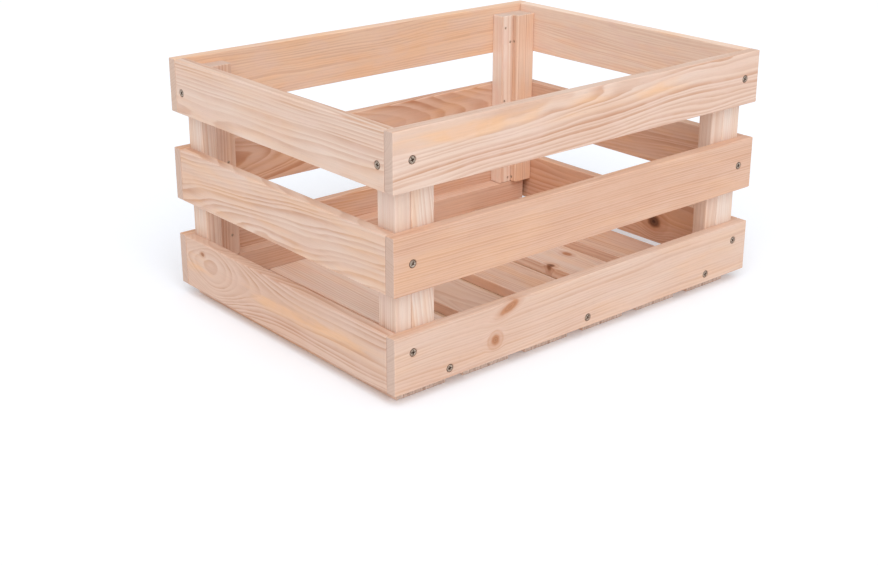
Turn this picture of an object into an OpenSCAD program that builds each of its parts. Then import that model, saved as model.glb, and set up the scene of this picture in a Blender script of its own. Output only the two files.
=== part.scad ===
// Slatted wooden apple crate.
//
// The crate is five flat panels. Each long side is three slats nailed to two side battens, each
// short end is three slats nailed to two end battens, and the floor is a row of boards nailed
// under two cleats. Screws join the panels: through the side slats into the end battens, through
// the top end slats into the same battens, and through the bottom side slats into the cleats.
//
// X runs along the long side, Y along the short end and Z up. The origin is the middle of the
// footprint, at the underside of the floor boards. The front is the -Y side. Units: millimetres.

/* [Crate] */
// Outside length, along X
crate_l = 500; // [480:1:520]
// Outside width, along Y
crate_w = 370; // [300:1:450]

/* [Wall slats] */
// Height of a slat
slat_h = 57; // [52:1:66]
// Thickness of a slat
slat_t = 12; // [11:0.5:14]
// Open gap between two rows of slats
slat_gap = 39; // [25:1:60]

/* [Battens] */
// Width of a narrow batten, along X
narrow_w = 18; // [17:1:21]
// Width of a wide batten, along X
wide_w = 27; // [25:1:30]
// Depth of an end panel's batten, along Y
end_batten_d = 26; // [25:1:32]
// Depth of a side panel's batten, along Y
side_batten_d = 18; // [17:1:22]
// Distance from the rim down to the tops of the battens
batten_drop = 9; // [5:1:14]

/* [Floor] */
// Width of a floor board, along X
board_w = 60; // [56:1:61]
// Gap between two floor boards
board_gap = 21.5; // [18:0.5:22]
// Thickness of a floor board
board_t = 12; // [11:0.5:14]
// Distance from a board's end to the inner face of the side slats
board_setback = 1; // [0.5:0.5:3]
// Height of a cleat
cleat_h = 27; // [25:1:30]
// Thickness of a cleat, along Y
cleat_t = 18; // [17:1:22]
// Play between a cleat and the right end slats
cleat_play = 5; // [3:1:8]

/* [Screws] */
// Diameter of a screw's countersunk head
screw_head_d = 8; // [7:0.5:8.5]
// Diameter of a screw's shank
screw_d = 3.6; // [3:0.2:4]
// Length of the screws at the crate's corners
corner_screw_l = 35; // [30:1:36]
// Length of the shorter screws, in the end slats and cleats
short_screw_l = 28; // [24:1:28]
// Depth of a screw head's face under the wood
screw_sink = 0.4; // [0.2:0.1:1]
// Distance from the crate's outer corner to a screw
screw_inset = 22; // [20:0.5:23]

/* [Nails] */
// Diameter of a nail's flat head
nail_head_d = 3; // [2.6:0.2:4.4]
// Diameter of a nail's shank
nail_d = 1.8; // [1.4:0.1:2]
// Depth to which a nail enters the second piece of wood
nail_bite = 8; // [6:0.5:9]

/* [Hidden] */

$fn = 32;

// Names for the walls, the ends and the rows of slats
FRONT = 0;
BACK = 1;
LEFT = 0;
RIGHT = 1;
BOTTOM = 0;
MIDDLE = 1;
TOP = 2;

pine = "burlywood";
pine_pale = "wheat";
pine_warm = "peru";
steel = "dimgray";

fit = 0.05;          // clearance round a screw or nail
cut = 1;             // how far a cutting shape runs out of the wood
board_count = 6;

// Places along Z
slat_z0 = board_t;
slat_pitch = slat_h + slat_gap;
rim_z = slat_z0 + 2 * slat_pitch + slat_h;
batten_z0 = board_t + cleat_h;
batten_z1 = rim_z - batten_drop;

// Places in X and Y: the outer corner at the front left, and the inner faces of the walls there
corner_x = -crate_l / 2;
corner_y = -crate_w / 2;
inner_x = corner_x + slat_t;
inner_y = corner_y + slat_t;

// The floor panel stands against the left end, so its play is all at the right
board_pitch = board_w + board_gap;
cleat_l = crate_l - 2 * slat_t - cleat_play;
board_l = crate_w - 2 * slat_t - 2 * board_setback;

// Screws and nails
screw_head_h = 3;                  // length of the head's cone
recess_l = 4.4;                    // length of one arm of the cross recess
recess_w = 1.1;                    // its width
recess_deep = 1.8;                 // its depth
screw_point_h = 2;                 // length of a screw's point
screw_point_d = 1;                 // its diameter at the tip
nail_head_h = 0.8;
nail_sink = 0.3;                   // depth of a nail head's face under the wood
row_screw_shift = [10, 0, 0];      // height of a corner screw above the middle of its slat
end_screw_drop = 5.5;              // how far an end screw is below the middle of the top slat
cleat_screw_z = slat_z0 + 9.5;
cleat_screw_x = [-184, 0, 184];
nail_pair = 9;                     // half the height between the two nails of a joint
end_nail_y = [9, 19];              // nails of an end joint, from the side slats' inner face
side_nail_spread = 4;              // nails of a side joint, to each side of the batten's middle
floor_nail_spread = 10;            // nails of a floor joint, to each side of the board's middle
floor_nail_l = board_t + 20;

function end_batten_w(end) = end == LEFT ? narrow_w : wide_w;
function side_batten_w(end) = end == LEFT ? wide_w : narrow_w;
function slat_z(row) = slat_z0 + row * slat_pitch;
function slat_mid_z(row) = slat_z(row) + slat_h / 2;
function board_x(i) = inner_x + i * board_pitch;

// Middle of the height over which a slat and a batten lie against each other
function joint_z(row) =
    (max(slat_z(row), batten_z0) + min(slat_z(row) + slat_h, batten_z1)) / 2;

// ---- Placing ----

// Carries what is drawn at the front left to the given end and side
module carry(end, side) {
    mirror([end, 0, 0]) mirror([0, side, 0]) children();
}

module at_corner_screws(ends, sides, rows) {
    for (end = ends, side = sides, row = rows)
        carry(end, side)
            translate([corner_x + screw_inset, corner_y, slat_mid_z(row) + row_screw_shift[row]])
                rotate([-90, 0, 0]) children();
}

module at_end_screws(ends, sides) {
    for (end = ends, side = sides)
        carry(end, side)
            translate([corner_x, corner_y + screw_inset, slat_mid_z(TOP) - end_screw_drop])
                rotate([0, 90, 0]) children();
}

module at_cleat_screws(sides) {
    for (side = sides, x = cleat_screw_x)
        carry(LEFT, side)
            translate([x, corner_y, cleat_screw_z])
                rotate([-90, 0, 0]) children();
}

module at_end_nails(end, sides, rows) {
    for (side = sides, row = rows, k = [0, 1])
        carry(end, side)
            translate([
                inner_x + end_batten_w(end),
                inner_y + end_nail_y[k],
                joint_z(row) + (1 - 2 * k) * nail_pair
            ])
                rotate([0, -90, 0]) children();
}

module at_side_nails(ends, sides, rows) {
    for (end = ends, side = sides, row = rows, k = [-1, 1])
        carry(end, side)
            translate([
                inner_x + end_batten_w(end) + side_batten_w(end) / 2 + k * side_nail_spread,
                inner_y + side_batten_d,
                joint_z(row) + k * nail_pair
            ])
                rotate([90, 0, 0]) children();
}

module at_floor_nails(sides, boards) {
    for (side = sides, i = boards, k = [-1, 1])
        carry(LEFT, side)
            translate([
                board_x(i) + board_w / 2 + k * floor_nail_spread,
                inner_y + cleat_t / 2,
                0
            ])
                children();
}

// ---- Screws and nails, drawn from the wood's surface at z = 0 with the point along +Z ----

module screw(length) {
    translate([0, 0, screw_sink])
        difference() {
            union() {
                cylinder(h = screw_head_h, d1 = screw_head_d, d2 = screw_d);
                cylinder(h = length - screw_point_h, d = screw_d);
                translate([0, 0, length - screw_point_h])
                    cylinder(h = screw_point_h, d1 = screw_d, d2 = screw_point_d);
            }
            for (a = [45, 135])
                rotate([0, 0, a])
                    translate([-recess_l / 2, -recess_w / 2, -cut])
                        cube([recess_l, recess_w, recess_deep + cut]);
        }
}

module screw_hole(length) {
    head_d = screw_head_d + 2 * fit;
    shank_d = screw_d + 2 * fit;
    translate([0, 0, -cut]) cylinder(h = screw_sink + cut, d = head_d);
    translate([0, 0, screw_sink]) cylinder(h = screw_head_h, d1 = head_d, d2 = shank_d);
    cylinder(h = screw_sink + length + fit, d = shank_d);
}

module nail(length) {
    translate([0, 0, nail_sink]) {
        cylinder(h = nail_head_h, d = nail_head_d);
        cylinder(h = length - nail_sink, d = nail_d);
    }
}

module nail_hole(length) {
    translate([0, 0, -cut])
        cylinder(h = nail_sink + nail_head_h + fit + cut, d = nail_head_d + 2 * fit);
    cylinder(h = length + fit, d = nail_d + 2 * fit);
}

// Lengths of the nails: through the first piece and into the second
function end_nail_l(end) = end_batten_w(end) + nail_bite;
side_nail_l = side_batten_d + nail_bite;

// ---- Wall slats ----

module side_slat(side, row) {
    color(row == MIDDLE ? pine : pine_pale)
        difference() {
            carry(LEFT, side)
                translate([corner_x, corner_y, slat_z(row)])
                    cube([crate_l, slat_t, slat_h]);
            at_corner_screws([LEFT, RIGHT], [side], [row]) screw_hole(corner_screw_l);
            at_side_nails([LEFT, RIGHT], [side], [row]) nail_hole(side_nail_l);
            if (row == BOTTOM)
                at_cleat_screws([side]) screw_hole(short_screw_l);
        }
}

module end_slat(end, row) {
    color(pine_pale)
        difference() {
            carry(end, FRONT)
                translate([corner_x, inner_y, slat_z(row)])
                    cube([slat_t, crate_w - 2 * slat_t, slat_h]);
            at_end_nails(end, [FRONT, BACK], [row]) nail_hole(end_nail_l(end));
            if (row == TOP)
                at_end_screws([end], [FRONT, BACK]) screw_hole(short_screw_l);
        }
}

// ---- Battens in the corners ----

module end_batten(end, side) {
    color(pine)
        difference() {
            carry(end, side)
                translate([inner_x, inner_y, batten_z0])
                    cube([end_batten_w(end), end_batten_d, batten_z1 - batten_z0]);
            at_corner_screws([end], [side], [BOTTOM, MIDDLE, TOP]) screw_hole(corner_screw_l);
            at_end_screws([end], [side]) screw_hole(short_screw_l);
            at_end_nails(end, [side], [BOTTOM, MIDDLE, TOP]) nail_hole(end_nail_l(end));
        }
}

module side_batten(end, side) {
    color(pine_pale)
        difference() {
            carry(end, side)
                translate([inner_x + end_batten_w(end), inner_y, batten_z0])
                    cube([side_batten_w(end), side_batten_d, batten_z1 - batten_z0]);
            at_side_nails([end], [side], [BOTTOM, MIDDLE, TOP]) nail_hole(side_nail_l);
        }
}

// ---- Floor ----

module cleat(side) {
    color(pine_warm)
        difference() {
            carry(LEFT, side)
                translate([inner_x, inner_y, board_t])
                    cube([cleat_l, cleat_t, cleat_h]);
            at_cleat_screws([side]) screw_hole(short_screw_l);
            at_floor_nails([side], [0 : board_count - 1]) nail_hole(floor_nail_l);
        }
}

module floor_board(i) {
    color(i % 2 == 0 ? pine_pale : pine)
        difference() {
            translate([board_x(i), -board_l / 2, 0])
                cube([board_w, board_l, board_t]);
            at_floor_nails([FRONT, BACK], [i]) nail_hole(floor_nail_l);
        }
}

// ---- Fasteners ----

module corner_screws() {
    color(steel)
        at_corner_screws([LEFT, RIGHT], [FRONT, BACK], [BOTTOM, MIDDLE, TOP])
            screw(corner_screw_l);
}

module end_screws() {
    color(steel) at_end_screws([LEFT, RIGHT], [FRONT, BACK]) screw(short_screw_l);
}

module cleat_screws() {
    color(steel) at_cleat_screws([FRONT, BACK]) screw(short_screw_l);
}

module end_panel_nails() {
    color(steel)
        for (end = [LEFT, RIGHT])
            at_end_nails(end, [FRONT, BACK], [BOTTOM, MIDDLE, TOP]) nail(end_nail_l(end));
}

module side_panel_nails() {
    color(steel)
        at_side_nails([LEFT, RIGHT], [FRONT, BACK], [BOTTOM, MIDDLE, TOP]) nail(side_nail_l);
}

module floor_nails() {
    color(steel)
        at_floor_nails([FRONT, BACK], [0 : board_count - 1]) nail(floor_nail_l);
}

side_slat(FRONT, TOP);  // front_slat_top
side_slat(FRONT, MIDDLE);  // front_slat_middle
side_slat(FRONT, BOTTOM);  // front_slat_bottom
side_slat(BACK, TOP);  // back_slat_top
side_slat(BACK, MIDDLE);  // back_slat_middle
side_slat(BACK, BOTTOM);  // back_slat_bottom
end_slat(LEFT, TOP);  // left_slat_top
end_slat(LEFT, MIDDLE);  // left_slat_middle
end_slat(LEFT, BOTTOM);  // left_slat_bottom
end_slat(RIGHT, TOP);  // right_slat_top
end_slat(RIGHT, MIDDLE);  // right_slat_middle
end_slat(RIGHT, BOTTOM);  // right_slat_bottom
end_batten(LEFT, FRONT);  // end_batten_front_left
end_batten(RIGHT, FRONT);  // end_batten_front_right
end_batten(LEFT, BACK);  // end_batten_back_left
end_batten(RIGHT, BACK);  // end_batten_back_right
side_batten(LEFT, FRONT);  // side_batten_front_left
side_batten(RIGHT, FRONT);  // side_batten_front_right
side_batten(LEFT, BACK);  // side_batten_back_left
side_batten(RIGHT, BACK);  // side_batten_back_right
cleat(FRONT);  // front_cleat
cleat(BACK);  // back_cleat
floor_board(0);  // floor_board_1
floor_board(1);  // floor_board_2
floor_board(2);  // floor_board_3
floor_board(3);  // floor_board_4
floor_board(4);  // floor_board_5
floor_board(5);  // floor_board_6
corner_screws();
end_screws();
cleat_screws();
end_panel_nails();
side_panel_nails();
floor_nails();
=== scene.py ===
"""Looks of the slatted wooden apple crate.

Each slat, batten, cleat and floor board of the frame is replaced by a board with eased, slightly
uneven edges, sawn ends and true holes for its fasteners. Each board is cut from its own virtual
pine log, so its faces, edges and ends all show the same growth rings. Screws and nails are
replaced by turned ones with recesses, threads and points.

Lengths are in millimetres unless a name ends in _m. Blender's own unit is the metre.
"""

import math
from dataclasses import dataclass, field

import bpy
import numpy as np
from mathutils import Matrix, Vector, noise


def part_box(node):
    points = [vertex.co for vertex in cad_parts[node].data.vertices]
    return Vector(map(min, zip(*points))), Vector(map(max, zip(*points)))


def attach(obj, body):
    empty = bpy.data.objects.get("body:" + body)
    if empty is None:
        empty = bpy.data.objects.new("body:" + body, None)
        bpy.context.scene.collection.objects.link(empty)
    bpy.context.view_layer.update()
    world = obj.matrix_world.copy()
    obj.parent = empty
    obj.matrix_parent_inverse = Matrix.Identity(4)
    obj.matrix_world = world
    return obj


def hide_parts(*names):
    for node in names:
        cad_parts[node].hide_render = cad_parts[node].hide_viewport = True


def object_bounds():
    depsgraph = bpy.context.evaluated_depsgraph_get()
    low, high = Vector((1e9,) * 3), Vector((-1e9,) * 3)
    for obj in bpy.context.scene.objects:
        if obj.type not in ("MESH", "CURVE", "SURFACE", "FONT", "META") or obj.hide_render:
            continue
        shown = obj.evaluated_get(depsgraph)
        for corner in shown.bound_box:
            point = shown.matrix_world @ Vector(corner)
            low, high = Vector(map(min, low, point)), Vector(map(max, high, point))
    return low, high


MM = 0.001
X, Y, Z = 0, 1, 2
SEED_STEP = np.array([7.3, 3.1, 5.7])   # how far apart the noises of two seeds are

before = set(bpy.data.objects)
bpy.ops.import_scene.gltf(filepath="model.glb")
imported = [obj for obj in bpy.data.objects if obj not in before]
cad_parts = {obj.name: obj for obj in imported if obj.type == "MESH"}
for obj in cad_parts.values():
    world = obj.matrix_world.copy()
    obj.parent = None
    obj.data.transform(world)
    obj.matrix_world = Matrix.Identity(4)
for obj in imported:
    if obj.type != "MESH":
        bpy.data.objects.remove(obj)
cad_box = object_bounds()


# ---- Small helpers ----


def add_object(name, mesh):
    """Links a new object with that mesh at the origin."""
    obj = bpy.data.objects.new(name, mesh)
    bpy.context.scene.collection.objects.link(obj)
    return obj


def make_mesh(name, points, faces):
    """A mesh from points in millimetres and lists of corner numbers."""
    mesh = bpy.data.meshes.new(name)
    mesh.from_pydata((np.asarray(points, float) * MM).tolist(), [], faces)
    mesh.update()
    return mesh


def box_mm(node):
    """A CAD node's lowest and highest corners in millimetres."""
    lo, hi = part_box(node)
    return np.array(lo) / MM, np.array(hi) / MM


def smoothstep(low, high, value):
    """0 below low, 1 above high and an even rise between them."""
    t = np.clip((value - low) / (high - low), 0, 1)
    return t * t * (3 - 2 * t)


def noise_at(points, scale, seed):
    """Smooth noise from about -1 to 1 at each point, with features about scale long on each axis."""
    places = points / np.asarray(scale, float) + SEED_STEP * seed
    return np.array([noise.noise(Vector(p)) for p in places])


def shade_by_angle(mesh, degrees):
    """Smooth shading, apart from edges sharper than that."""
    mesh.polygons.foreach_set("use_smooth", [True] * len(mesh.polygons))
    mesh.set_sharp_from_angle(angle=math.radians(degrees))


def cut_away(obj, cutter):
    """Takes the cutter's shape out of the object for good and deletes the cutter."""
    cut = obj.modifiers.new("cut", "BOOLEAN")
    cut.operation = "DIFFERENCE"
    cut.solver = "MANIFOLD"
    cut.object = cutter
    graph = bpy.context.evaluated_depsgraph_get()
    before = obj.data
    mesh = bpy.data.meshes.new_from_object(obj.evaluated_get(graph), depsgraph=graph)
    obj.modifiers.clear()
    obj.data = mesh
    bpy.data.meshes.remove(before)
    bpy.data.meshes.remove(cutter.data)


# ---- Fasteners ----

FACETS = 32                 # sides of a turned piece
TWIST = 37.0                # degrees that each screw is turned further than the one before
SCREW_CONE = 3.0            # length of a screw head's cone
SCREW_RIM = 0.3             # height of the rim above the cone
SCREW_POINT = 5.0
SCREW_PLAIN = 1.5           # plain shank between the head and the thread
THREAD_PITCH = 2.0
THREAD_STEPS = 5            # rings of points in one pitch
THREAD_DEPTH = 0.45
SCREW_SHADED_RIM = 0.7           # width of the rim round the face of a screw's head that is painted with shade
SHARP_METAL = 35            # edges of metal sharper than this many degrees stay sharp
RECESS_ARM = 2.5            # from the middle of the cross recess to the end of an arm
RECESS_HALF_WIDTH = 0.7
RECESS_DEPTH = 1.5
RECESS_EDGE = 0.1           # faces nearer than this to its mouth or its bottom are not its walls
RECESS_MOUTH = 1.0          # how far its cutter stands out of the head
RECESS_TAPER = 0.6          # size of the recess at its bottom, as a share of its mouth
RIM_ROUND = ((0.12, 0.05), (0.0, 0.14))     # how far in and how deep points of a head's rounded rim are
NECK = 0.25                 # how much wider a screw's cone is than its shank at its lower end
NAIL_HEAD = 0.8             # thickness of a nail's head
NAIL_POINT = 2.5
NAIL_GRIPS = 3              # rings pressed into the shank under a nail's head
GRIP_PITCH = 0.9
GRIP_WAIST = 0.86           # radius between two rings, as a share of the shank's
HOLE_CLEARANCE = 0.08
HOLE_CRUSH = 0.5            # how much wider a screw's hole is at its mouth, where the head crushed it
HOLE_MOUTH = 1.5            # how far a hole's cutter stands out of the wood


def islands(node):
    """The separate solids of a CAD node, each as its points in millimetres."""
    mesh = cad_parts[node].data
    points = np.array([v.co for v in mesh.vertices]) / MM
    group = list(range(len(points)))

    def root(i):
        while group[i] != i:
            group[i] = group[group[i]]
            i = group[i]
        return i

    first_at = {}
    for i, p in enumerate(points):
        group[root(i)] = root(first_at.setdefault(tuple(np.round(p, 2)), i))
    for edge in mesh.edges:
        a, b = edge.vertices
        group[root(a)] = root(b)
    found = {}
    for i in range(len(points)):
        found.setdefault(root(i), []).append(i)
    return [points[members] for members in found.values()]


class Fastener:
    """Where one screw or nail of the frame is: the middle of its head, its way in and its sizes."""

    def __init__(self, points, number):
        self.low, self.high = points.min(0), points.max(0)
        size = self.high - self.low
        axis = int(np.argmax(size))
        middle = (self.low + self.high) / 2
        out = np.linalg.norm(np.delete(points - middle, axis, axis=1), axis=1)
        head_is_low = points[np.argmax(out), axis] < middle[axis]
        self.inward = np.zeros(3)
        self.inward[axis] = 1.0 if head_is_low else -1.0
        self.length = float(size[axis])
        self.head = middle - self.inward * self.length / 2
        self.head_r = float(out.max())
        far_half = (points - middle) @ self.inward > 0
        self.shank_r = float(out[far_half].max())
        self.twist = math.radians(TWIST * number)

    def placed(self, points):
        """Points drawn round the Z axis with the head at z = 0, carried to this fastener's place."""
        aim = Vector((0, 0, 1)).rotation_difference(Vector(self.inward)).to_matrix()
        turn = aim @ Matrix.Rotation(self.twist, 3, "Z")
        return points @ np.array(turn).T + self.head


def rings_of(profile):
    """Rings of points round the Z axis for a list of (radius, z). A radius of 0 gives one point."""
    angles = np.arange(FACETS) * 2 * math.pi / FACETS
    circle = np.stack([np.cos(angles), np.sin(angles), 0 * angles], axis=1)
    return [circle[: 1 if r == 0 else FACETS] * r + [0, 0, z] for r, z in profile]


def skin(rings):
    """Points and faces of a closed solid from rings of points, from one pole to the other."""
    faces, first = [], 0
    for low, high in zip(rings, rings[1:]):
        second = first + len(low)
        for i in range(FACETS):
            j = (i + 1) % FACETS
            corners = [first + i % len(low), first + j % len(low),
                       second + j % len(high), second + i % len(high)]
            faces.append(list(dict.fromkeys(corners)))
        first = second
    return np.concatenate(rings), faces


def threaded(radius, low, high):
    """Rings of a coarse wood thread between two heights."""
    count = round((high - low) / THREAD_PITCH * THREAD_STEPS)
    turns = np.arange(FACETS) / FACETS
    angles = turns * 2 * math.pi
    rings = []
    for z in np.linspace(low, high, count):
        share = (z / THREAD_PITCH - turns) % 1
        crest = np.clip(1 - np.abs(share - 0.5) * 4, 0, 1)
        fade = min(1, (z - low) / THREAD_PITCH, (high - z) / THREAD_PITCH)
        r = radius - THREAD_DEPTH + THREAD_DEPTH * crest * fade
        rings.append(np.stack([r * np.cos(angles), r * np.sin(angles), 0 * r + z], axis=1))
    return rings


def cross_cutter():
    """A tapering cross that leaves a screw's recess."""
    a, w = RECESS_ARM, RECESS_HALF_WIDTH
    quarter = [(a, -w), (a, w), (w, w)]
    outline = [
        (x * math.cos(q) - y * math.sin(q), x * math.sin(q) + y * math.cos(q))
        for q in (k * math.pi / 2 for k in range(4))
        for x, y in quarter
    ]
    n = len(outline)
    points = [(x, y, -RECESS_MOUTH) for x, y in outline]
    points += [(x * RECESS_TAPER, y * RECESS_TAPER, RECESS_DEPTH) for x, y in outline]
    faces = [[i, (i + 1) % n, n + (i + 1) % n, n + i] for i in range(n)]
    faces += [list(range(n))[::-1], list(range(n, 2 * n))]
    return add_object("cross_cutter", make_mesh("cross_cutter", points, faces))


def in_painted_shade(points, face, head_r):
    """Whether a face of a screw gets painted shade: one of its recess's walls or its head's rim."""
    x, y, z = np.mean([points[c] for c in face], axis=0)
    out = math.hypot(x, y)
    wall = out < RECESS_ARM and RECESS_EDGE < z < RECESS_DEPTH - RECESS_EDGE
    return wall or (out > head_r - SCREW_SHADED_RIM and z < SCREW_RIM)


def screw_solid(f):
    """Points, faces and materials of a countersunk wood screw with a cross recess, head at z = 0."""
    core = f.shank_r - THREAD_DEPTH
    head = rings_of([
        (0, 0), (f.head_r - SCREW_SHADED_RIM, 0), *((f.head_r - into, z) for into, z in RIM_ROUND),
        (f.head_r, SCREW_RIM), (f.shank_r + NECK, SCREW_CONE - 0.1), (f.shank_r, SCREW_CONE + 0.3),
        (f.shank_r, SCREW_CONE + SCREW_PLAIN),
    ])
    thread = threaded(f.shank_r, SCREW_CONE + SCREW_PLAIN + 0.4, f.length - SCREW_POINT)
    point = rings_of([(core * 0.6, f.length - SCREW_POINT * 0.4), (0, f.length)])
    points, faces = skin(head + thread + point)
    screw = add_object("screw", make_mesh("screw", points, faces))
    cut_away(screw, cross_cutter())
    points = np.array([v.co for v in screw.data.vertices]) / MM
    faces = [list(p.vertices) for p in screw.data.polygons]
    bpy.data.meshes.remove(screw.data)
    return points, faces, [int(in_painted_shade(points, face, f.head_r)) for face in faces]


def nail_solid(f):
    """Points, faces and materials of a flat-headed wire nail with grip rings, head at z = 0."""
    grips = []
    for k in range(NAIL_GRIPS):
        z = NAIL_HEAD + 1.0 + GRIP_PITCH * k
        waist = (f.shank_r * GRIP_WAIST, z + GRIP_PITCH / 3)
        grips += [(f.shank_r, z), waist, (f.shank_r, z + GRIP_PITCH * 2 / 3)]
    head = [(0, 0.05), (f.head_r * 0.6, 0.05), (f.head_r - 0.15, 0.1), (f.head_r, 0.25),
            (f.head_r, NAIL_HEAD - 0.1), (f.head_r - 0.1, NAIL_HEAD), (f.shank_r, NAIL_HEAD)]
    point = [
        (f.shank_r, f.length - NAIL_POINT), (f.shank_r * 0.5, f.length - NAIL_POINT * 0.4), (0, f.length)
    ]
    points, faces = skin(rings_of(head + grips + point))
    return points, faces, [0] * len(faces)


def screw_hole(f):
    """Points and faces of what a screw takes out of the wood."""
    c = HOLE_CLEARANCE
    return skin(rings_of([
        (0, -HOLE_MOUTH), (f.head_r + HOLE_CRUSH, -HOLE_MOUTH), (f.head_r + HOLE_CRUSH, 0),
        (f.head_r + c, SCREW_RIM), (f.shank_r + c, SCREW_CONE + 0.3), (f.shank_r + c, f.length + c),
        (0, f.length + c),
    ]))


def nail_hole(f):
    """Points and faces of what a nail takes out of the wood."""
    c = HOLE_CLEARANCE
    return skin(rings_of([
        (0, -HOLE_MOUTH), (f.head_r + c, -HOLE_MOUTH), (f.head_r + c, NAIL_HEAD + c),
        (f.shank_r + c, NAIL_HEAD + c), (f.shank_r + c, f.length + c), (0, f.length + c),
    ]))


def joined(solids):
    """One list of points and one of faces from several."""
    points, faces, first = [], [], 0
    for p, f in solids:
        points.append(p)
        faces += [[c + first for c in face] for face in f]
        first += len(p)
    return np.concatenate(points), faces


SCREW_NODES = ["corner_screws", "end_screws", "cleat_screws"]
NAIL_NODES = ["end_panel_nails", "side_panel_nails", "floor_nails"]
fasteners = {
    node: [Fastener(points, number) for number, points in enumerate(islands(node))]
    for node in SCREW_NODES + NAIL_NODES
}


def make_fasteners(node, solid, materials):
    """One piece that stands for a CAD node of equal screws or nails."""
    points, faces, marks = solid(fasteners[node][0])
    mesh = make_mesh(node, *joined([(f.placed(points), faces) for f in fasteners[node]]))
    for material in materials:
        mesh.materials.append(material)
    mesh.polygons.foreach_set("material_index", marks * len(fasteners[node]))
    shade_by_angle(mesh, SHARP_METAL)
    piece = add_object("fine_" + node, mesh)
    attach(piece, "root")
    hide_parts(node)


# ---- Boards ----

BEND = (0.0, 0.42, 0.73, 1.0, 1.5)      # grid lines across an eased edge, in edge radii
EASE_ALONG, EASE_ACROSS = 60.0, 18.0    # over what length an eased edge's radius changes
EASE_MEAN, EASE_SWING = 0.75, 0.3       # that radius and its change, as shares of the largest one
EASE_LEAST = 0.35
WANDER_ACROSS, WANDER_THROUGH = 0.3, 0.12   # how far a board's sides wander inwards
WANDER_LENGTH = 90.0
WANDERS_APART = 31.0                    # distance between the places two boards take in that noise
STROKE_WIDE, STROKE_LONG = 1.9, 9.0     # the saw's tracks in an end
TEAR_WIDE, TEAR_HIGH = 4.0, 4.5         # the splinters torn out of an end's lower edge
TEAR_RAMP = (0.15, 0.55)                # noise where a tear starts and where it is deepest
WEAR_REACH = 9.0                        # how far into a board its end's wear reaches
NO_CHANGE = 1000.0                      # the scale of noise on an axis along which it stays the same
OVERLAP = 0.01                          # least overlap of their boxes for a fastener to enter a board
SHARP_WOOD = 40                         # edges of wood sharper than this many degrees stay sharp


@dataclass
class Kind:
    """How a kind of board is worked: its eased edges, its sawn ends and the grid of its mesh."""

    radius: float       # largest radius of an eased edge
    end_wear: float     # depth of the saw's tracks in an end
    chip: float         # depth of splinters torn out of an end's edges
    step_along: float   # largest spacing of the grid along the grain
    step_across: float  # the same across the grain
    slot: str           # name of a material slot, not used
    torn: float = 0.0   # how coarse and splintery its sawn ends look


SLAT = Kind(1.3, 0.2, 0.3, 7, 3, "pine_slats")
BATTEN = Kind(1.5, 0.25, 0.4, 6, 2.5, "pine_battens")
CLEAT = Kind(0.8, 0.4, 0.8, 8, 3, "pine_cleats")
FLOOR = Kind(1.3, 0.35, 0.7, 7, 1.2, "pine_floor", torn=0.7)


def grid_lines(low, high, radius, step):
    """Places of grid lines on one axis: close together in the eased edges and even between them."""
    ease = radius * np.array(BEND)
    count = max(2, math.ceil((high - low - 2 * ease[-1]) / step) + 1)
    inner = np.linspace(low + ease[-1], high - ease[-1], count)
    return np.concatenate([low + ease[:-1], inner, (high - ease[:-1])[::-1]])


def shell(lines):
    """Points and faces of a box's surface, with a grid line at each of the given places."""
    last = [len(places) - 1 for places in lines]
    number, points, faces = {}, [], []

    def corner(key):
        if key not in number:
            number[key] = len(points)
            points.append([lines[a][key[a]] for a in (X, Y, Z)])
        return number[key]

    for a in (X, Y, Z):
        b, c = (a + 1) % 3, (a + 2) % 3
        for side in (0, last[a]):
            for i in range(last[b]):
                for j in range(last[c]):
                    quad = []
                    for di, dj in ((0, 0), (1, 0), (1, 1), (0, 1)):
                        key = [0, 0, 0]
                        key[a], key[b], key[c] = side, i + di, j + dj
                        quad.append(corner(tuple(key)))
                    faces.append(quad if side else quad[::-1])
    return np.array(points), faces


def board_axes(node):
    """The axes along the grain, across the board's width and through its thickness."""
    lo, hi = box_mm(node)
    through, across, along = np.argsort(hi - lo, kind="stable")
    return int(along), int(across), int(through)


def ease_edges(p, lo, hi, axes, kind, seed):
    """Rounds a box's edges, by a radius that changes slowly along them."""
    stretch = np.full(3, EASE_ACROSS)
    stretch[axes[0]] = EASE_ALONG
    radius = kind.radius * (EASE_MEAN + EASE_SWING * noise_at(p, stretch, seed))
    radius = np.clip(radius, EASE_LEAST * kind.radius, kind.radius)[:, None]
    core = np.clip(p, lo + radius, hi - radius)
    out = p - core
    return core + out / np.maximum(np.linalg.norm(out, axis=1), 1e-9)[:, None] * radius


def let_sides_wander(p, lo, hi, axes, seed):
    """Moves a board's points inwards a little, more in some places along it than in others."""
    along, across, through = axes
    middle = (lo + hi) / 2
    for a, depth in ((across, WANDER_ACROSS), (through, WANDER_THROUGH)):
        on_line = p * np.eye(3)[along] + seed * WANDERS_APART
        wander = depth * (0.5 + 0.5 * noise_at(on_line, WANDER_LENGTH, seed + a))
        p[:, a] -= (p[:, a] - middle[a]) / (hi[a] - lo[a]) * 2 * wander


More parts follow.
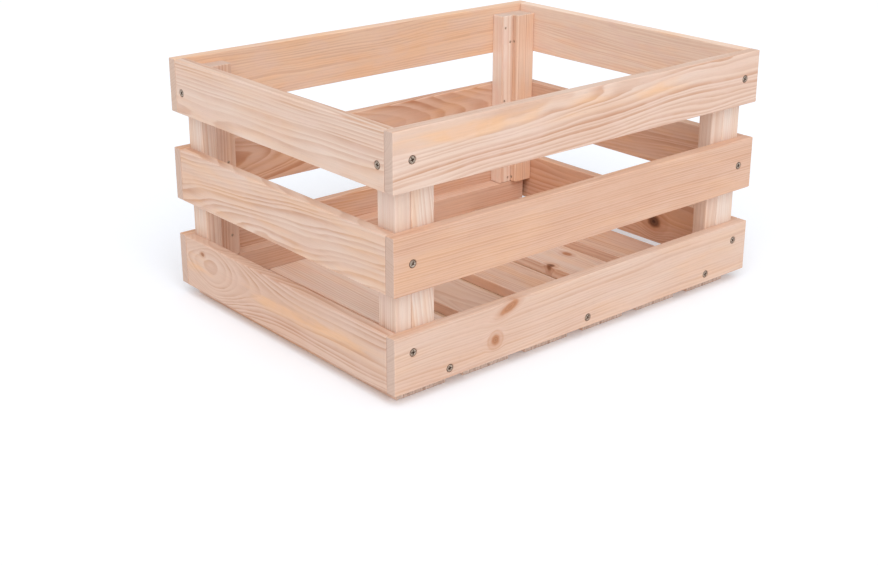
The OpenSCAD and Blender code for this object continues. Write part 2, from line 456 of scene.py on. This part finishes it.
def wear_ends(p, lo, hi, axes, kind, seed):
    """Presses the saw's tracks into the points of a board's ends, and tears their lower edges."""
    along, _, through = axes
    strokes = np.full(3, STROKE_WIDE)
    strokes[through] = STROKE_LONG
    strokes[along] = NO_CHANGE
    tears = np.full(3, TEAR_WIDE)
    tears[along] = NO_CHANGE
    for side, end in ((-1, lo[along]), (1, hi[along])):
        depth_in = np.abs(p[:, along] - end)
        near = np.nonzero(depth_in < WEAR_REACH)[0]
        q = p[near]
        track = 0.5 + 0.5 * noise_at(q, strokes, seed + 40 + side)
        tear = smoothstep(*TEAR_RAMP, noise_at(q, tears, seed + 60 + side))
        low_edge = 1 - smoothstep(0, TEAR_HIGH, q[:, through] - lo[through])
        wear = kind.end_wear * track + kind.chip * tear * low_edge
        fade = 1 - smoothstep(kind.radius, WEAR_REACH, depth_in[near])
        p[near, along] -= side * wear * fade


def board_points(node, kind, seed):
    """Points and faces of a board with eased edges, slightly wavy sides and sawn ends."""
    lo, hi = box_mm(node)
    axes = board_axes(node)
    steps = dict(zip(axes, (kind.step_along, kind.step_across, kind.step_across)))
    p, faces = shell([grid_lines(lo[a], hi[a], kind.radius, steps[a]) for a in (X, Y, Z)])
    p = ease_edges(p, lo, hi, axes, kind, seed)
    let_sides_wander(p, lo, hi, axes, seed)
    wear_ends(p, lo, hi, axes, kind, seed)
    return p, faces


def holes_in(node):
    """The cutters of all fasteners that enter a board."""
    lo, hi = box_mm(node)
    found = []
    for names, hole in ((SCREW_NODES, screw_hole), (NAIL_NODES, nail_hole)):
        for name in names:
            points, faces = hole(fasteners[name][0])
            for f in fasteners[name]:
                if (f.high > lo + OVERLAP).all() and (f.low < hi - OVERLAP).all():
                    found.append((f.placed(points), faces))
    return found


def make_board(node, kind, material, seed):
    """A finished board that stands for its CAD node."""
    points, faces = board_points(node, kind, seed)
    piece = add_object("board_" + node, make_mesh(node, points, faces))
    cutters = holes_in(node)
    if cutters:
        cut_away(piece, add_object("holes", make_mesh("holes", *joined(cutters))))
    shade_by_angle(piece.data, SHARP_WOOD)
    piece.data.materials.clear()
    piece.data.materials.append(material)
    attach(piece, "root")
    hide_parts(node)


# ---- Node trees ----


class Tree:
    """Builds a material's nodes. Where it takes a value, that is a number or a node's output."""

    def __init__(self, material):
        material.use_nodes = True
        self.tree = material.node_tree
        self.tree.nodes.clear()

    def node(self, kind, **settings):
        made = self.tree.nodes.new(kind)
        for name, value in settings.items():
            setattr(made, name, value)
        return made

    def feed(self, socket, value):
        if isinstance(value, bpy.types.NodeSocket):
            self.tree.links.new(value, socket)
        else:
            socket.default_value = value

    def math(self, operation, *values):
        made = self.node("ShaderNodeMath", operation=operation)
        for socket, value in zip(made.inputs, values):
            self.feed(socket, value)
        return made.outputs[0]

    def add(self, a, b):
        return self.math("ADD", a, b)

    def sub(self, a, b):
        return self.math("SUBTRACT", a, b)

    def mul(self, a, b):
        return self.math("MULTIPLY", a, b)

    def vector(self, operation, *values):
        made = self.node("ShaderNodeVectorMath", operation=operation)
        for socket, value in zip(made.inputs, values):
            self.feed(socket, value)
        return made.outputs["Value" if operation in ("LENGTH", "DOT_PRODUCT") else "Vector"]

    def combine(self, x, y, z):
        made = self.node("ShaderNodeCombineXYZ")
        for socket, value in zip(made.inputs, (x, y, z)):
            self.feed(socket, value)
        return made.outputs[0]

    def rise(self, value, low, high, to_low=0.0, to_high=1.0):
        """to_low below low, to_high above high and a smooth change between them."""
        made = self.node("ShaderNodeMapRange", interpolation_type="SMOOTHSTEP", clamp=True)
        names = ("Value", "From Min", "From Max", "To Min", "To Max")
        for name, v in zip(names, (value, low, high, to_low, to_high)):
            self.feed(made.inputs[name], v)
        return made.outputs["Result"]

    def noise(self, place, scale, detail=1.0, roughness=0.5):
        """Noise from 0 to 1 with features about scale long on each axis."""
        made = self.node("ShaderNodeTexNoise", noise_dimensions="3D")
        self.feed(made.inputs["Vector"], self.vector("DIVIDE", place, scale))
        made.inputs["Scale"].default_value = 1.0
        made.inputs["Detail"].default_value = detail
        made.inputs["Roughness"].default_value = roughness
        return made.outputs["Fac"]

    def mix(self, share, a, b, blend="MIX"):
        made = self.node("ShaderNodeMix", data_type="RGBA", blend_type=blend)
        self.feed(made.inputs[0], share)
        for socket, value in ((made.inputs[6], a), (made.inputs[7], b)):
            self.feed(socket, value if isinstance(value, bpy.types.NodeSocket) else (*value, 1))
        return made.outputs[2]

    def bump(self, height, strength, distance_mm):
        made = self.node("ShaderNodeBump")
        made.inputs["Strength"].default_value = strength
        made.inputs["Distance"].default_value = distance_mm * MM
        self.feed(made.inputs["Height"], height)
        return made.outputs[0]


def srgb(r, g, b):
    """A colour of the sRGB scale, from 0 to 255, as linear light."""
    return tuple(
        c / 12.92 if c <= 0.04045 else ((c + 0.055) / 1.055) ** 2.4 for c in (r / 255, g / 255, b / 255)
    )


# ---- Pine ----

PALE = srgb(238, 219, 205)          # early wood of a pale board
WARM = srgb(219, 177, 151)          # early wood of a warm board
LATE_PALE = srgb(212, 170, 142)     # late wood, the darker part of a ring
LATE_WARM = srgb(188, 128, 94)
BLUSH = srgb(230, 198, 184)         # pinkish patches
RESIN = srgb(240, 190, 144)         # resin-rich patches
KNOT = srgb(192, 134, 98)
KNOT_DARK = srgb(70, 42, 32)
END_EARLY = srgb(209, 183, 168)     # how sawn ends darken and grey
END_LATE = srgb(184, 152, 134)
TORN_PALE = srgb(242, 222, 208)     # strokes of torn fibre on coarse ends
TORN_DARK = srgb(176, 138, 118)

# Sizes of the grain's features, along, across and through a board
SLOW_WAVES = (190, 44, 44)
SMALL_WAVES = (48, 10, 10)
FIBRES = (38, 0.55, 0.55)
BUNDLES = (70, 1.5, 1.5)
DUCTS = (9, 0.5, 0.5)
TONE_PATCHES = (120, 22, 22)
FADED_PLACES = (160, 24, 24)        # where the late wood is faint
FLAMES = (80, 14, 14)
BLUSHES = (30, 13, 13)
GRIT = (NO_CHANGE, 0.9, 0.9)        # on sawn ends
STROKES = (NO_CHANGE, 1.3, 9.0)     # on coarse ends
STROKE_PATCHES = (NO_CHANGE, 13, 40)

SMALL_SHARE = 0.13          # depth of the small waves, as a share of the slow ones'
RING_RUN = 0.45             # how much the width of a ring differs from the next one's
RING_SPREAD = 1.6           # how uneven the widths of the rings are
FAINTEST_YEAR = 0.4         # darkness of the faintest ring's late wood, as a share of the strongest's
TONE_SPREAD = 0.7           # how much the tone changes within a board
FIBRE_STREAK, BUNDLE_STREAK = 0.14, 0.1     # how much fibres and bundles of them lighten or darken
DUCT_STREAK = 0.07          # how much resin ducts darken
ARRIS_HIGHLIGHT = 0.035        # painted highlight: how much the long edges lighten
ROUGHNESS = 0.6
LATE_SHINE, FIBRE_SHINE, END_DULL = 0.08, 0.14, 0.18    # how late wood, fibres and ends change it
END_LATE_SHARE = 0.6        # how strongly rings show in a sawn end
END_EARLY_SHARE = 0.25      # how strongly the board's own colour does
GRIT_HIGH, STROKE_HIGH = 0.8, 1.2   # height of the marks on ends, in heights of the rings and fibres
RELIEF, RELIEF_MM = 0.5, 0.11       # strength and depth of the bumps
FACING = (0.55, 0.85)       # how much of the normal points along an axis where a surface faces it
ARRIS = (0.3, 2.4)          # how far in from a long edge its painted highlight starts to fade and is gone
LOGS_APART = 173.0          # distance between the places that two boards take in the noises
BOW_MOST = 26.0             # how far a bowed log bends away in the end

KNOT_MIDDLE = 0.7           # size of a knot at the middle of its board, as a share of the size at its face
KNOT_TAPER = 0.05           # how much of that share it gains with every millimetre away from the heart
KNOT_UNEVEN = (6, 6, 12)    # size of the bumps in a knot's rim
KNOT_BUMPS = 0.4            # height of those bumps, as a share of the knot's half size
KNOT_RINGS = 14.0           # closeness of a knot's own rings
KNOT_PUSH = 0.8             # how much a knot pushes the grain aside
KNOT_HALO = 0.45            # strength of the darker wood round a knot
KNOT_OUTLINE = 0.35         # strength of the thin ring round a round knot


@dataclass
class Look:
    """How a board was cut from its log, and its colour."""

    heart: tuple                    # where the log's heart is, (across, through) from the middle
    ring: float                     # width of a growth ring
    slope: float                    # how far the rings drift per millimetre along the board
    wave: float                     # depth of the rings' waves
    contrast: float                 # how dark the late wood is
    tone: float                     # from 0, pale, to 1, warm
    flame: float = 0.3              # strength of the resin-rich patches
    knots: list = field(default_factory=list)
    bow: tuple | None = None        # (along, reach) of a bend of the log
    flame_at: float | None = None   # where across the board the patches keep to, if anywhere
    amber: float = 0.0              # share of resin all over
    light: float = 1.0              # how light the whole board is
    sides: float = 0.0              # painted light: how much lighter its narrow sides are


@dataclass
class Knot:
    """A knot through a board."""

    along: float            # its middle, from the board's middle
    across: float
    half_long: float        # half its length and half its width
    half_wide: float
    dark: float = 0.3
    lean: float = 0.0       # degrees that it is turned on the board's face

    def reach(self, t, along, across, through, heart_side):
        """How far a point is from the knot's middle, where 1 is its rim. It narrows towards the heart."""
        u, v = t.sub(along, self.along), t.sub(across, self.across)
        c, s = math.cos(math.radians(self.lean)), math.sin(math.radians(self.lean))
        long = t.math("DIVIDE", t.add(t.mul(u, c), t.mul(v, s)), self.half_long)
        wide = t.math("DIVIDE", t.sub(t.mul(v, c), t.mul(u, s)), self.half_wide)
        uneven = t.sub(t.noise(t.combine(along, across, through), KNOT_UNEVEN, 2), 0.5)
        far = t.add(t.vector("LENGTH", t.combine(long, wide, 0.0)), t.mul(uneven, KNOT_BUMPS))
        return t.math("DIVIDE", far, t.sub(KNOT_MIDDLE, t.mul(through, heart_side * KNOT_TAPER)))


def board_place(t, node):
    """The shaded point in millimetres along, across and through a board, from its middle.

    Across and through count up towards the outside of the crate.
    """
    lo, hi = box_mm(node)
    middle = (lo + hi) / 2
    place = t.node("ShaderNodeTexCoord").outputs["Object"]
    split = t.node("ShaderNodeSeparateXYZ")
    t.feed(split.inputs[0], t.vector("SUBTRACT", place, tuple(middle * MM)))
    parts = []
    for a in board_axes(node):
        outward = -1 / MM if middle[a] < 0 and a != Z else 1 / MM
        parts.append(t.mul(split.outputs[a], outward))
    return parts


def facing(t, axis):
    """1 where the surface faces along that axis, either way, and 0 where it faces across it."""
    split = t.node("ShaderNodeSeparateXYZ")
    t.feed(split.inputs[0], t.node("ShaderNodeTexCoord").outputs["Normal"])
    return t.rise(t.math("ABSOLUTE", split.outputs[axis]), *FACING)


def arris(t, node, across, through):
    """1 on a board's long edges and 0 a little way in from them."""
    lo, hi = box_mm(node)
    half = (hi - lo) / 2
    axes = board_axes(node)
    from_sides = [
        t.sub(half[a], t.math("ABSOLUTE", value)) for a, value in zip(axes[1:], (across, through))
    ]
    return t.rise(t.math("MAXIMUM", *from_sides), *ARRIS, 1.0, 0.0)


def knotted(t, look, along, across, through):
    """The place across a board once its grain parts round its knots, and the knots' marks there.

    The marks are how far the point is inside a knot, how strong a knot's halo is and how dark a
    knot is, each from 0 to 1.
    """
    parted, inside, halo, dark = across, 0.0, 0.0, 0.0
    for knot in look.knots:
        far = knot.reach(t, along, across, through, math.copysign(1, look.heart[1]))
        push = t.rise(far, 0.6, 3.4, KNOT_PUSH, 0.0)
        parted = t.sub(parted, t.mul(t.sub(across, knot.across), push))
        within = t.rise(far, 0.75, 1.25, 1.0, 0.0)
        own_rings = t.math("SINE", t.mul(far, KNOT_RINGS))
        depth = t.add(t.mul(own_rings, 0.08), t.rise(far, 0.1, 0.9, knot.dark, knot.dark * 0.6))
        rim = t.mul(t.rise(far, 1.5, 1.9), t.rise(far, 1.95, 2.4, 1.0, 0.0))
        outline = t.mul(rim, KNOT_OUTLINE * (knot.half_wide / knot.half_long) ** 2)
        inside = t.math("MAXIMUM", inside, within)
        halo = t.math("MAXIMUM", halo, t.add(t.rise(far, 1.0, 2.2, KNOT_HALO, 0.0), outline))
        dark = t.math("MAXIMUM", dark, t.mul(depth, within))
    return parted, (inside, halo, dark)


def from_heart(t, look, place, along, across, through):
    """Distance from the log's heart, with slow waves and small ones."""
    slow = t.sub(t.noise(place, SLOW_WAVES, 1), 0.5)
    small = t.sub(t.noise(place, SMALL_WAVES, 2), 0.5)
    dv = t.sub(across, look.heart[0])
    dw = t.sub(through, look.heart[1])
    distance = t.math("SQRT", t.add(t.mul(dv, dv), t.mul(dw, dw)))
    distance = t.add(distance, t.mul(along, look.slope))
    distance = t.add(distance, t.add(t.mul(slow, look.wave), t.mul(small, look.wave * SMALL_SHARE)))
    if look.bow:
        # The log bends away on both sides of a place, by one millimetre after the first reach, so
        # its rings close into ovals there
        bend = t.math("DIVIDE", t.sub(along, look.bow[0]), look.bow[1])
        bend = t.mul(bend, bend)
        distance = t.add(distance, t.math("DIVIDE", bend, t.add(1.0, t.math("DIVIDE", bend, BOW_MOST))))
    return distance


def late_wood(t, look, seed, distance):
    """How dark the late wood is, from 0 to 1. It rises slowly through a ring and ends sharply."""
    count = t.math("DIVIDE", distance, look.ring)
    years = t.node("ShaderNodeTexNoise", noise_dimensions="1D")
    t.feed(years.inputs["W"], t.add(t.mul(count, RING_RUN), seed * 9.7))
    years.inputs["Scale"].default_value = 1.0
    years.inputs["Detail"].default_value = 1.0
    count = t.add(count, t.mul(years.outputs["Fac"], RING_SPREAD))
    share = t.math("FRACT", count)
    late = t.mul(t.rise(share, 0.1, 0.85), t.rise(share, 0.88, 1.0, 1.0, 0.0))
    year = t.node("ShaderNodeTexWhiteNoise", noise_dimensions="1D")
    t.feed(year.inputs["W"], t.add(t.math("FLOOR", count), seed * 3.3))
    strength = t.add(t.mul(year.outputs["Value"], 1.0 - FAINTEST_YEAR), FAINTEST_YEAR)
    return t.mul(late, strength)


def wood_colours(t, look, place, across, late):
    """The early wood's colour, and the wood's with its rings and its patches of resin and blush."""
    tone = t.add(look.tone, t.mul(t.sub(t.noise(place, TONE_PATCHES, 2), 0.5), TONE_SPREAD))
    tone = t.math("MAXIMUM", t.math("MINIMUM", tone, 1.0), 0.0)
    fading = t.rise(t.noise(place, FADED_PLACES, 1), 0.34, 0.56, 0.4, 1.0)
    early = t.mix(look.amber, t.mix(tone, PALE, WARM), RESIN)
    colour = t.mix(t.mul(t.mul(late, fading), look.contrast), early, t.mix(tone, LATE_PALE, LATE_WARM))
    flames = t.mul(t.rise(t.noise(place, FLAMES, 2), 0.42, 0.68), look.flame)
    if look.flame_at is not None:
        away = t.math("ABSOLUTE", t.sub(across, look.flame_at))
        flames = t.mul(flames, t.rise(away, 3, 15, 1.0, 0.0))
    colour = t.mix(flames, colour, RESIN)
    blush = t.rise(t.noise(place, BLUSHES, 2), 0.46, 0.7)
    return early, t.mix(t.mul(blush, 0.4 - 0.3 * look.tone), colour, BLUSH)


def brightness(t, node, look, place, fibres, across, through):
    """How light the wood is: its fibres and resin ducts differ a little, its long edges carry a painted
    highlight and its narrow sides painted light.
    """
    bundles = t.noise(place, BUNDLES, 2)
    ducts = t.rise(t.noise(place, DUCTS, 0), 0.68, 0.78)
    light = t.add(t.mul(t.sub(fibres, 0.5), FIBRE_STREAK), look.light)
    light = t.add(light, t.mul(t.sub(bundles, 0.5), BUNDLE_STREAK))
    light = t.sub(light, t.mul(ducts, DUCT_STREAK))
    # Painted highlight along the long edges
    light = t.add(light, t.mul(arris(t, node, across, through), ARRIS_HIGHLIGHT))
    # Painted light on the narrow sides
    return t.add(light, t.mul(facing(t, board_axes(node)[1]), look.sides))


def end_wood(t, seed, torn, across, through, late, early):
    """The colour of a board's sawn ends and the height of the marks on them.

    Ends are greyer than sides, and coarse ones show pale and dark strokes in places.
    """
    grit = t.noise(t.combine(0.0, across, through), GRIT, 2)
    colour = t.mix(t.mul(late, END_LATE_SHARE), END_EARLY, END_LATE)
    colour = t.mix(t.rise(grit, 0.3, 0.7, 0.0, 0.35), colour, END_LATE)
    colour = t.mix(END_EARLY_SHARE, colour, early)
    height = t.mul(grit, GRIT_HIGH)
    if torn:
        stroke = t.noise(t.combine(seed * 5.0, across, through), STROKES, 1)
        patches = t.noise(t.combine(seed * 9.0, across, through), STROKE_PATCHES, 1)
        strength = t.rise(patches, 0.4, 0.62, 0.15, torn)
        colour = t.mix(0.3 * torn, colour, TORN_PALE)
        colour = t.mix(t.mul(t.rise(stroke, 0.5, 0.62), strength), colour, TORN_PALE)
        colour = t.mix(t.mul(t.rise(stroke, 0.48, 0.36), strength), colour, TORN_DARK)
        height = t.add(height, t.mul(stroke, STROKE_HIGH))
    return colour, height


def pine(node, look, seed, torn):
    """Unfinished planed pine. torn is how coarse and splintery the sawn ends look."""
    material = bpy.data.materials.new("pine_" + node)
    t = Tree(material)
    along, across, through = board_place(t, node)
    parted, (in_knot, halo, dark) = knotted(t, look, along, across, through)
    place = t.combine(t.add(along, LOGS_APART * seed), parted, through)
    late = late_wood(t, look, seed, from_heart(t, look, place, along, parted, through))
    fibres = t.noise(place, FIBRES, 2, 0.6)

    early, colour = wood_colours(t, look, place, across, late)
    light = brightness(t, node, look, place, fibres, across, through)
    colour = t.mix(1.0, colour, t.combine(light, light, light), "MULTIPLY")
    if look.knots:
        colour = t.mix(halo, colour, KNOT)
        colour = t.mix(in_knot, colour, t.mix(dark, KNOT, KNOT_DARK))

    end = facing(t, board_axes(node)[0])
    end_colour, end_height = end_wood(t, seed, torn, across, through, late, early)
    height = t.add(t.mul(t.add(late, fibres), 0.5), t.mul(end, end_height))
    rough = t.sub(ROUGHNESS, t.mul(late, LATE_SHINE))
    rough = t.add(rough, t.mul(t.sub(fibres, 0.5), FIBRE_SHINE))

    surface = t.node("ShaderNodeBsdfPrincipled")
    t.feed(surface.inputs["Base Color"], t.mix(end, colour, end_colour))
    t.feed(surface.inputs["Roughness"], t.add(rough, t.mul(end, END_DULL)))
    surface.inputs["Specular IOR Level"].default_value = 0.3
    t.feed(surface.inputs["Normal"], t.bump(height, RELIEF, RELIEF_MM))
    t.feed(t.node("ShaderNodeOutputMaterial").inputs["Surface"], surface.outputs[0])
    return material


# ---- Metal ----

FILM_PATCHES = (1.7, 1.7, 1.7)
METAL_GRIT = (0.3, 0.3, 0.3)


def steel(name, colour, dull, roughness):
    """Metal with a thin uneven film of dull colour on it."""
    material = bpy.data.materials.new(name)
    t = Tree(material)
    place = t.vector("DIVIDE", t.node("ShaderNodeTexCoord").outputs["Object"], (MM, MM, MM))
    film = t.rise(t.noise(place, FILM_PATCHES, 3, 0.6), 0.35, 0.7)
    grit = t.noise(place, METAL_GRIT, 1)
    surface = t.node("ShaderNodeBsdfPrincipled")
    t.feed(surface.inputs["Base Color"], t.mix(film, colour, dull))
    t.feed(surface.inputs["Roughness"], t.add(roughness, t.mul(film, 0.2)))
    surface.inputs["Metallic"].default_value = 1.0
    t.feed(surface.inputs["Normal"], t.bump(grit, 0.3, 0.05))
    t.feed(t.node("ShaderNodeOutputMaterial").inputs["Surface"], surface.outputs[0])
    return material


# ---- The crate ----

LOOKS = {
    "front_slat_top": Look((32, -32), 3.5, 0.03, 15, 0.9, 0.5, 0.65, flame_at=15),
    "front_slat_middle": Look((-190, -60), 2.2, 0.01, 5, 0.5, 1, 0.2),
    "front_slat_bottom": Look(
        (80, -50), 2.8, 0.012, 10, 0.5, 0.64, 0.2,
        [Knot(-127, -7, 5.0, 4.8, 0.2), Knot(-109, 22.3, 12, 4, 0.12, 20)], light=0.95,
    ),
    "left_slat_top": Look((-24, -26), 3.0, 0.012, 7, 0.9, 0.5, 0.2),
    "left_slat_middle": Look((-44, -34), 4.2, 0.09, 20, 0.95, 0.6, 0.3, light=0.985),
    "left_slat_bottom": Look(
        (6, -14), 3.2, 0.01, 12, 0.85, 0.74, 0.65, [Knot(139.5, 16, 3.4, 2.1, 0.35)], (122, 12),
        flame_at=2, light=0.95,
    ),
    "back_slat_top": Look((130, 50), 3.0, 0.02, 12, 0.65, 0.3, 0.4, amber=0.4, light=1.04),
    "back_slat_middle": Look((4, 26), 4.2, 0.12, 14, 1.0, 0.9, 0.3),
    "back_slat_bottom": Look((-90, 50), 3.2, 0.02, 12, 0.8, 0.86, 0.3, [Knot(80, 5, 7, 6, 0.3)]),
    "right_slat_top": Look((110, 50), 3.0, 0.03, 12, 0.6, 0.0, 0.3, amber=0.2, light=1.08),
    "right_slat_middle": Look((-60, 44), 3.4, 0.03, 14, 0.7, 0.9, 0.3, light=0.97),
    "right_slat_bottom": Look((30, 40), 3.2, 0.02, 12, 0.8, 1, 0.3, [Knot(-62, -3.5, 10, 8, 0.9)]),
    "end_batten_front_left": Look((90, 20), 2.8, 0.004, 3, 0.85, 0.25, 0.1),
    "side_batten_front_left": Look((50, 50), 3.6, 0.09, 10, 0.8, 0.15, 0.3),
    "end_batten_front_right": Look((-60, 50), 2.8, 0.01, 6, 0.45, 0.05, 0.2),
    "side_batten_front_right": Look((70, 10), 2.6, 0.01, 4, 0.5, 0.4, 0.2),
    "end_batten_back_left": Look((60, 60), 2.6, 0.01, 5, 0.7, 0.2, 0.2),
    "side_batten_back_left": Look((-40, 50), 2.8, 0.02, 6, 0.8, 0.6, 0.2),
    "end_batten_back_right": Look((80, 30), 2.6, 0.005, 4, 0.8, 0.35, 0.3, amber=0.25, light=1.05),
    "side_batten_back_right": Look((90, -30), 2.6, 0.004, 3, 0.75, 0.0, 0.1, light=1.08),
    "front_cleat": Look((60, 70), 2.8, 0.01, 6, 0.7, 0.7, 0.2),
    "back_cleat": Look((80, 50), 2.6, 0.01, 4, 0.5, 0.74, 0.1),
    # sides= paints light on the floor boards' narrow sides
    "floor_board_1": Look((40, -60), 3.2, 0.02, 10, 0.8, 0.6, 0.3, sides=0.1),
    "floor_board_2": Look((-120, -40), 3.2, 0.01, 8, 0.7, 0.2, 0.2, light=1.03, sides=0.1),
    "floor_board_3": Look((10, -50), 3.4, 0.02, 12, 0.6, 0.6, 0.1, light=0.94, sides=0.15),
    "floor_board_4": Look((-160, -30), 3.8, 0.01, 5, 1.0, 0.6, 0.3, sides=0.15),
    "floor_board_5": Look(
        (80, -60), 3.2, 0.015, 10, 0.8, 0.3, 0.3, [Knot(-40, -27, 5, 4, 0.7), Knot(-26, 13, 6, 4, 0.1)],
        light=1.02, sides=0.1,
    ),
    "floor_board_6": Look((-80, -50), 3.2, 0.015, 8, 0.9, 0.6, 0.3, sides=0.15),
}


def kind_of(node):
    """The kind of board that a node's name says it is."""
    for word, kind in (("slat", SLAT), ("batten", BATTEN), ("cleat", CLEAT), ("floor", FLOOR)):
        if word in node:
            return kind
    raise ValueError(node)


for seed, (node, look) in enumerate(LOOKS.items(), 1):
    kind = kind_of(node)
    make_board(node, kind, pine(node, look, seed, kind.torn), seed)

screw_steel = steel("screw_steel", srgb(192, 176, 160), srgb(134, 114, 98), 0.24)
# Dark steel that paints shade on the walls of the screws' recesses and on the rims of their heads
painted_shade_steel = steel("painted_shade_steel", srgb(146, 116, 96), srgb(94, 70, 56), 0.5)
nail_steel = steel("nail_steel", srgb(206, 190, 174), srgb(168, 148, 130), 0.45)
for node in SCREW_NODES:
    make_fasteners(node, screw_solid, [screw_steel, painted_shade_steel])
for node in NAIL_NODES:
    make_fasteners(node, nail_solid, [nail_steel])


# ---- Stage, light and camera ----

FLOOR_SIZE_M = 60.0
FLOOR_PALE = (0.895, 0.92, 0.96)
# Painted shade: the floor's colour under the crate's boards
FLOOR_SHADED = (0.66, 0.47, 0.33)   # under the crate's boards
FLOOR_GLOW = 0.1
FADE_M = 0.03               # how far in from its edge the shaded place reaches its full strength


def outside(t, value, low, high):
    """How far a value is beyond a range, negative inside it."""
    return t.sub(t.math("ABSOLUTE", t.sub(value, (low + high) / 2)), (high - low) / 2)


def make_floor():
    """A plain pale floor at the height the crate stands on, with painted shade and no glow where the
    crate's boards stand over it.
    """
    half = FLOOR_SIZE_M / 2
    mesh = bpy.data.meshes.new("floor")
    z = cad_box[0].z
    corners = [(-half, -half, z), (half, -half, z), (half, half, z), (-half, half, z)]
    mesh.from_pydata(corners, [], [(0, 1, 2, 3)])
    floor = add_object("floor", mesh)
    material = bpy.data.materials.new("floor")
    t = Tree(material)
    split = t.node("ShaderNodeSeparateXYZ")
    t.feed(split.inputs[0], t.node("ShaderNodeTexCoord").outputs["Object"])
    low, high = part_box("floor_board_1")[0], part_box("floor_board_6")[1]
    # Painted shade: under the crate's boards the floor turns darker and loses its glow, fading in over
    # FADE_M
    beyond = t.math(
        "MAXIMUM",
        outside(t, split.outputs[X], cad_box[0].x, high[X]),
        outside(t, split.outputs[Y], low[Y], high[Y]),
    )
    clear = t.rise(beyond, -FADE_M, 0.0)
    surface = t.node("ShaderNodeBsdfPrincipled")
    t.feed(surface.inputs["Base Color"], t.mix(clear, FLOOR_SHADED, FLOOR_PALE))
    t.feed(surface.inputs["Emission Color"], t.mix(clear, (0, 0, 0), (1, 1, 1)))
    surface.inputs["Emission Strength"].default_value = FLOOR_GLOW
    surface.inputs["Roughness"].default_value = 0.9
    surface.inputs["Specular IOR Level"].default_value = 0.1
    t.feed(t.node("ShaderNodeOutputMaterial").inputs["Surface"], surface.outputs[0])
    mesh.materials.append(material)


SKY_LOW, SKY_HIGH = 0.32, 0.83      # the sky's strength at the horizon and overhead
SKY_COLOUR = (0.98, 1.0, 1.025, 1)
SUN_STRENGTH = 1.75
SUN_ANGLE = 60.0            # width of the soft light, in degrees
SUN_HEADING = 34.0          # where it shines to, in degrees from +Y towards +X
SUN_DOWN = 45.0             # degrees below the horizon


def make_light():
    """A white room that is brighter overhead, and one very soft light from above and in front."""
    world = bpy.data.worlds.new("studio")
    bpy.context.scene.world = world
    t = Tree(world)
    split = t.node("ShaderNodeSeparateXYZ")
    t.feed(split.inputs[0], t.node("ShaderNodeTexCoord").outputs["Generated"])
    height = t.math("MAXIMUM", split.outputs[Z], 0.0)
    background = t.node("ShaderNodeBackground")
    t.feed(background.inputs["Strength"], t.add(t.mul(height, SKY_HIGH - SKY_LOW), SKY_LOW))
    t.feed(t.node("ShaderNodeOutputWorld").inputs["Surface"], background.outputs[0])
    background.inputs["Color"].default_value = SKY_COLOUR
    data = bpy.data.lights.new("key", "SUN")
    data.energy = SUN_STRENGTH
    data.angle = math.radians(SUN_ANGLE)
    lamp = add_object("key", data)
    lamp.rotation_euler = (math.radians(90 - SUN_DOWN), 0, -math.radians(SUN_HEADING))


CAMERA_PLACE_M = (-0.9623, -1.0821, 0.5863)
CAMERA_HEADING = 40.84      # degrees from +Y towards +X
CAMERA_DOWN = 19.82         # degrees below the horizon
CAMERA_ROLL = 0.24
CAMERA_SENSOR = 36          # width of its sensor
CAMERA_FOCAL = 57.68
CAMERA_SHIFT = (-0.0108, -0.0604)


def make_camera():
    """The camera at the photograph's viewing angle."""
    data = bpy.data.cameras.new("camera")
    data.sensor_width = CAMERA_SENSOR
    data.lens = CAMERA_FOCAL
    data.shift_x, data.shift_y = CAMERA_SHIFT
    data.clip_start, data.clip_end = 0.01, 100
    camera = add_object("camera", data)
    heading = Matrix.Rotation(-math.radians(CAMERA_HEADING), 4, "Z")
    tilt = Matrix.Rotation(math.radians(90 - CAMERA_DOWN), 4, "X")
    roll = Matrix.Rotation(math.radians(CAMERA_ROLL), 4, "Z")
    camera.matrix_world = Matrix.Translation(CAMERA_PLACE_M) @ heading @ tilt @ roll
    bpy.context.scene.camera = camera


make_floor()
make_light()
make_camera()
bpy.context.scene.view_settings.view_transform = "Standard"
